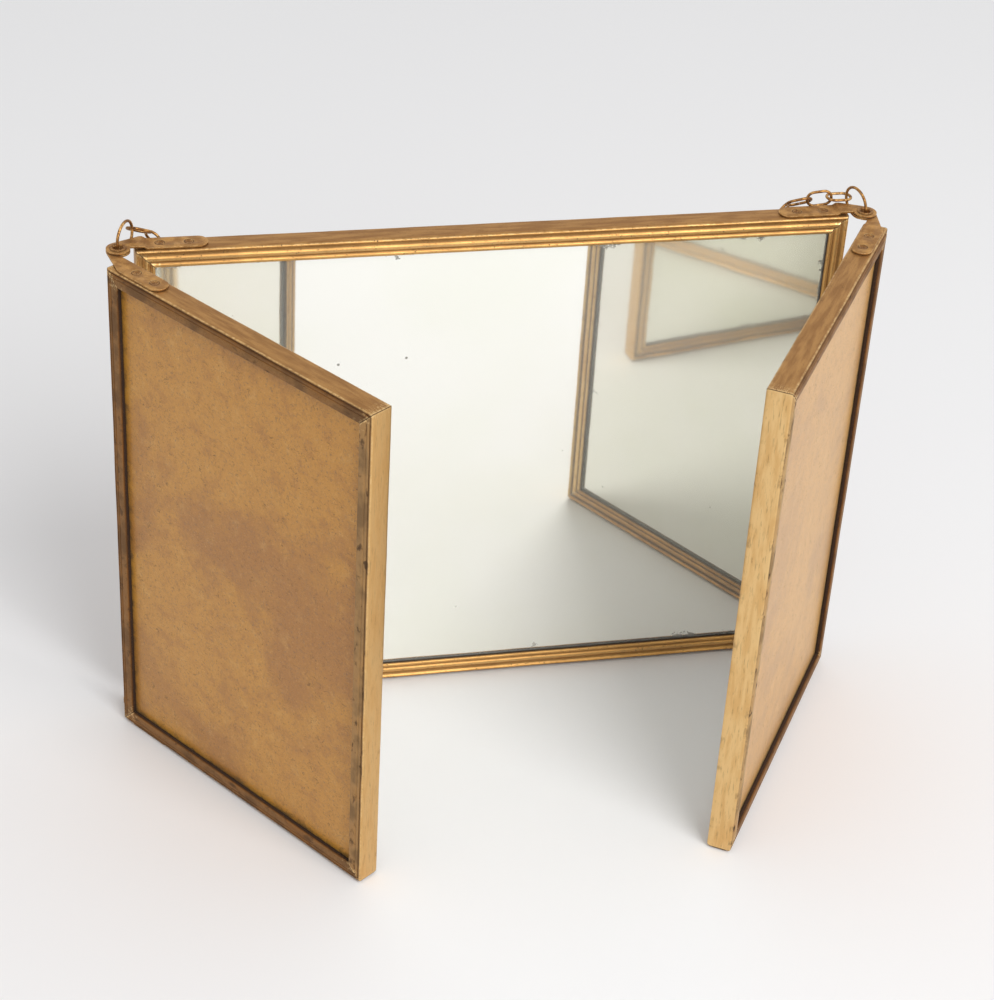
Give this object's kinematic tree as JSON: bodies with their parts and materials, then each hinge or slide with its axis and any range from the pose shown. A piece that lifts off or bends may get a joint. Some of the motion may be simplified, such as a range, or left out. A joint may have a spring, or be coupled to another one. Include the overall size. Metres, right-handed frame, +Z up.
{
  "type": "triptych folding mirror",
  "caption": "Small folding mirror: a wide centre mirror with half-width wings that close over it on riveted strap hinges, in moulded brass channel frames, with a hanging chain.",
  "frame": {"origin": "bottom centre of the box that holds the mirror as it stands, wings folded forward", "axes": "+Z up, -Y the way the centre mirror faces, +X to the viewer's right when facing the mirror"},
  "size_m": [0.2664, 0.1263, 0.1959],
  "materials": {
    "frame_brass": "aged satin with dark patina in the grooves",
    "strap_brass": "aged dull",
    "rivet_brass": "aged dark",
    "mirror_glass": "silvered, lightly foxed, faint green tint",
    "packing_card": "matte",
    "back_board": "matte, mottled",
    "chain_brass": "aged"
  },
  "bodies": {
    "centre_panel": {"centre_back_board": "back_board", "centre_left_rivet_bottom_inner": "rivet_brass", "centre_left_rivet_bottom_outer": "rivet_brass", "centre_left_rivet_top_inner": "rivet_brass", "centre_left_rivet_top_outer": "rivet_brass", "centre_left_strap_bottom": "strap_brass", "centre_left_strap_top": "strap_brass", "centre_mirror": "mirror_glass", "centre_packing_card": "packing_card", "centre_rail_bottom": "frame_brass", "centre_rail_left": "frame_brass", "centre_rail_right": "frame_brass", "centre_rail_top": "frame_brass", "centre_right_rivet_bottom_inner": "rivet_brass", "centre_right_rivet_bottom_outer": "rivet_brass", "centre_right_rivet_top_inner": "rivet_brass", "centre_right_rivet_top_outer": "rivet_brass", "centre_right_strap_bottom": "strap_brass", "centre_right_strap_top": "strap_brass", "edge_link": "chain_brass", "left_bottom_pivot_rivet": "rivet_brass", "left_end_ring": "chain_brass", "left_top_eyelet": "rivet_brass", "right_bottom_pivot_rivet": "rivet_brass", "right_end_ring": "chain_brass", "right_top_eyelet": "rivet_brass", "shoulder_link": "chain_brass"},
    "left_wing": {"left_wing_back_board": "back_board", "left_wing_foot_tab": "strap_brass", "left_wing_mirror": "mirror_glass", "left_wing_packing_card": "packing_card", "left_wing_rail_bottom": "frame_brass", "left_wing_rail_free": "frame_brass", "left_wing_rail_hinge": "frame_brass", "left_wing_rail_top": "frame_brass", "left_wing_rivet_bottom_inner": "rivet_brass", "left_wing_rivet_bottom_outer": "rivet_brass", "left_wing_rivet_top_inner": "rivet_brass", "left_wing_rivet_top_outer": "rivet_brass", "left_wing_strap_bottom": "strap_brass", "left_wing_strap_top": "strap_brass"},
    "right_wing": {"right_wing_back_board": "back_board", "right_wing_foot_tab": "strap_brass", "right_wing_mirror": "mirror_glass", "right_wing_packing_card": "packing_card", "right_wing_rail_bottom": "frame_brass", "right_wing_rail_free": "frame_brass", "right_wing_rail_hinge": "frame_brass", "right_wing_rail_top": "frame_brass", "right_wing_rivet_bottom_inner": "rivet_brass", "right_wing_rivet_bottom_outer": "rivet_brass", "right_wing_rivet_top_inner": "rivet_brass", "right_wing_rivet_top_outer": "rivet_brass", "right_wing_strap_bottom": "strap_brass", "right_wing_strap_top": "strap_brass"},
    "hanging_chain": {"hanging_chain": "chain_brass"}
  },
  "joints": [
    {"name": "left_wing_fold", "type": "hinge", "parent": "centre_panel", "child": "left_wing", "pos_m": [-0.1285, 0.049, 0.0937], "axis": [0, 0, -1], "range_deg": [-54.3, 150.7]},
    {"name": "right_wing_fold", "type": "hinge", "parent": "centre_panel", "child": "right_wing", "pos_m": [0.1285, 0.049, 0.0937], "axis": [0, 0, 1], "range_deg": [-57.3, 147.7]},
    {"name": "chain_swing", "type": "hinge", "parent": "centre_panel", "child": "hanging_chain", "pos_m": [-0.00622, 0.0588, 0.1894], "axis": [0.9999, 0.0069, -0.0097], "range_deg": [0, 60]}
  ]
}
